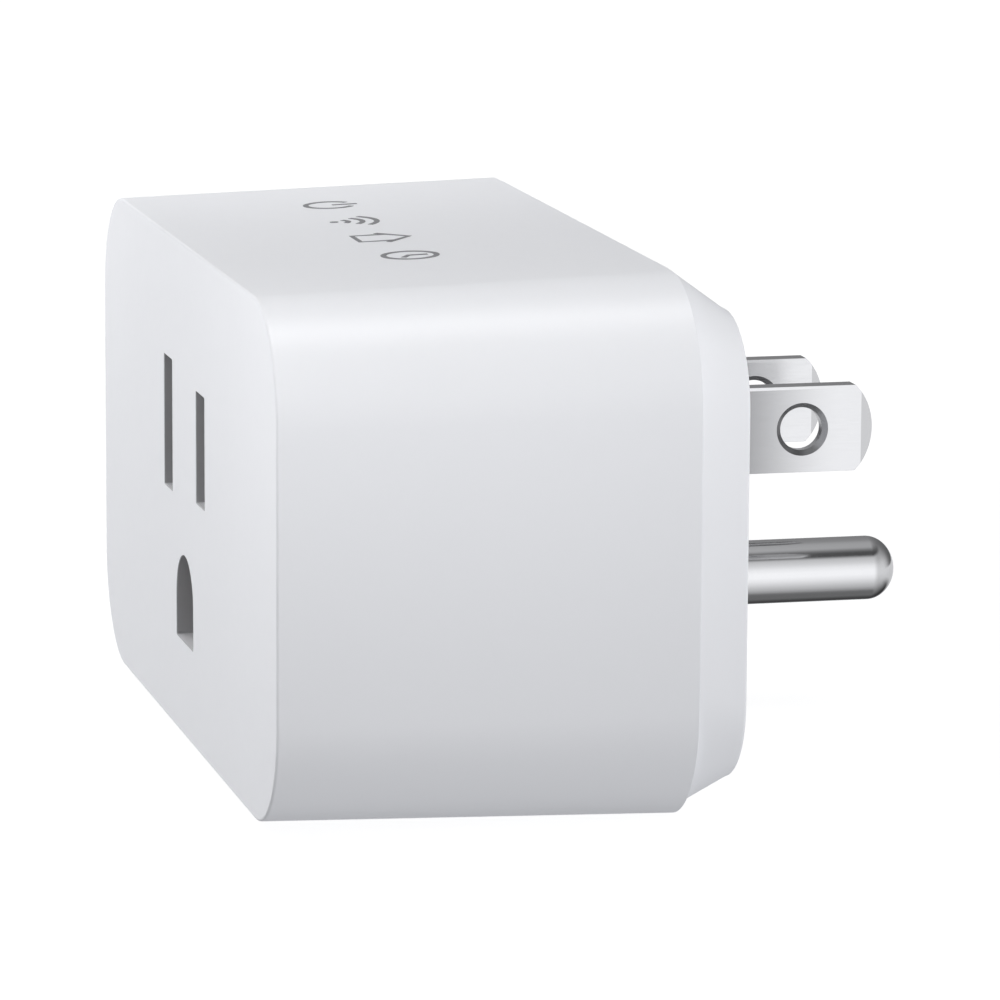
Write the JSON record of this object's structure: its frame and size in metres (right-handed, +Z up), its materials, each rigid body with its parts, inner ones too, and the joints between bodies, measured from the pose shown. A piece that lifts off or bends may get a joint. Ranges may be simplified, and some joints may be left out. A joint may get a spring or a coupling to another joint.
{
  "type": "smart plug",
  "caption": "Compact white smart plug: a drafted block with one grounded three-hole outlet in front, a side push button, and two flat blades with a round ground pin behind.",
  "frame": {"origin": "centre of the rear wall face, between the two blades and the ground pin", "axes": "+Y out of the wall face along the blades, into the wall; +X towards the hot side; +Z up, away from the ground pin"},
  "size_m": [0.0689, 0.0537, 0.0382],
  "materials": {
    "white_plastic": "satin moulded, fine texture",
    "button_plastic": "satin moulded",
    "clear_plastic": "clear acrylic light guide",
    "nickel_blade": "nickel-plated brass, satin",
    "polished_pin": "nickel-plated, polished",
    "black_plastic": "moulded",
    "grey_plastic": "moulded",
    "relay_blue": "moulded",
    "tinned_copper": "tinned",
    "spring_copper": "bare spring copper alloy",
    "steel": "zinc-plated",
    "enamelled_wire": "enamelled copper wire",
    "circuit_board": "solder-masked glass-fibre laminate",
    "capacitor_sleeve": "sleeved aluminium can",
    "blue_coating": "epoxy coating over a ceramic disc",
    "ferrite": "sintered ferrite",
    "shield_tin": "tin-plated steel can",
    "led_white": "diffuse cap"
  },
  "bodies": {
    "casing": {"front_housing": "white_plastic", "rear_cover": "white_plastic", "light_pipe": "clear_plastic", "hot_blade": "nickel_blade", "neutral_blade": "nickel_blade", "ground_pin": "polished_pin", "blade_retainer": "black_plastic", "retainer_screw_1": "steel", "retainer_screw_2": "steel", "power_board": "circuit_board", "board_screw_1": "steel", "board_screw_2": "steel", "board_screw_3": "steel", "contact_carrier": "black_plastic", "carrier_cover": "black_plastic", "carrier_screw_1": "steel", "carrier_screw_2": "steel", "hot_contact": "spring_copper", "neutral_contact": "spring_copper", "ground_contact": "spring_copper", "neutral_busbar": "tinned_copper", "line_busbar": "tinned_copper", "load_busbar": "tinned_copper", "ground_strap": "tinned_copper", "relay_base": "black_plastic", "relay_case": "relay_blue", "relay_bobbin": "black_plastic", "relay_coil": "enamelled_wire", "relay_core": "steel", "relay_yoke": "steel", "relay_fixed_contact": "spring_copper", "bulk_capacitor_1": "capacitor_sleeve", "bulk_capacitor_2": "capacitor_sleeve", "film_capacitor": "grey_plastic", "varistor": "blue_coating", "fusible_resistor": "grey_plastic", "bridge_rectifier": "black_plastic", "inductor_core": "ferrite", "inductor_winding": "enamelled_wire", "regulator_chip": "black_plastic", "control_board": "circuit_board", "board_header": "black_plastic", "radio_module": "circuit_board", "radio_shield": "shield_tin", "switch_body": "black_plastic", "status_led": "led_white"},
    "button": {"button_cap": "button_plastic"},
    "plunger": {"switch_plunger": "grey_plastic"},
    "armature": {"relay_armature": "steel", "relay_moving_contact": "spring_copper"}
  },
  "joints": [
    {"name": "button_press", "type": "slide", "parent": "casing", "child": "button", "axis": [1, 0, 0], "range_m": [0, 0.00035], "stiffness_N_per_m": 900, "springref_m": -0.001},
    {"name": "plunger_press", "type": "slide", "parent": "casing", "child": "plunger", "axis": [1, 0, 0], "range_m": [0, 0.00035]},
    {"name": "armature_pull", "type": "hinge", "parent": "casing", "child": "armature", "pos_m": [0.022, -0.024, -0.0083], "axis": [-1, 0, 0], "range_deg": [0, 3], "stiffness_Nm_per_rad": 0.02, "springref_deg": -8.59}
  ],
  "couplings": [
    {"joint": "plunger_press", "follows": "button_press", "ratio": 1}
  ]
}
